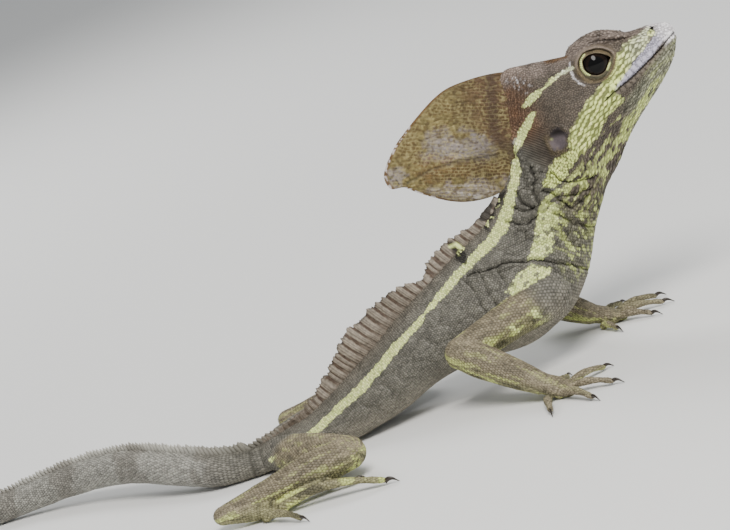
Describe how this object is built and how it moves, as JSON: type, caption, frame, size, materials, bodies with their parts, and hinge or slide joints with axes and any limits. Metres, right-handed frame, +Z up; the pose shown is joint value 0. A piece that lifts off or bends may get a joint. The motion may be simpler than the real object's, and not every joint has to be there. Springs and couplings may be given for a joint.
{
  "type": "common basilisk",
  "caption": "Young male common basilisk lizard at life size, crouched with head raised, round head crest, low back crest and long curved tail; a still model.",
  "frame": {"origin": "middle of the animal's box, on the floor that it rests on", "axes": "+X the way the animal faces, +Y its left side, +Z up"},
  "size_m": [0.4148, 0.105, 0.072],
  "materials": {
    "skin": "matt keeled scales, grey brown with cream stripes",
    "crest": "satin thin skin, mottled ochre brown",
    "eye": "wet gloss, dark brown"
  },
  "bodies": {
    "root": {"torso": "skin", "neck": "skin", "head": "skin", "head_crest": "crest", "back_crest": "skin", "eye_right": "eye", "eye_left": "eye", "upper_arm_right": "skin", "upper_arm_left": "skin", "forearm_right": "skin", "forearm_left": "skin", "hand_right": "skin", "hand_left": "skin", "thigh_right": "skin", "thigh_left": "skin", "shank_right": "skin", "shank_left": "skin", "foot_right": "skin", "foot_left": "skin", "tail_1": "skin", "tail_2": "skin", "tail_3": "skin", "tail_4": "skin", "tail_5": "skin", "tail_6": "skin", "tail_7": "skin", "tail_8": "skin"}
  },
  "joints": []
}
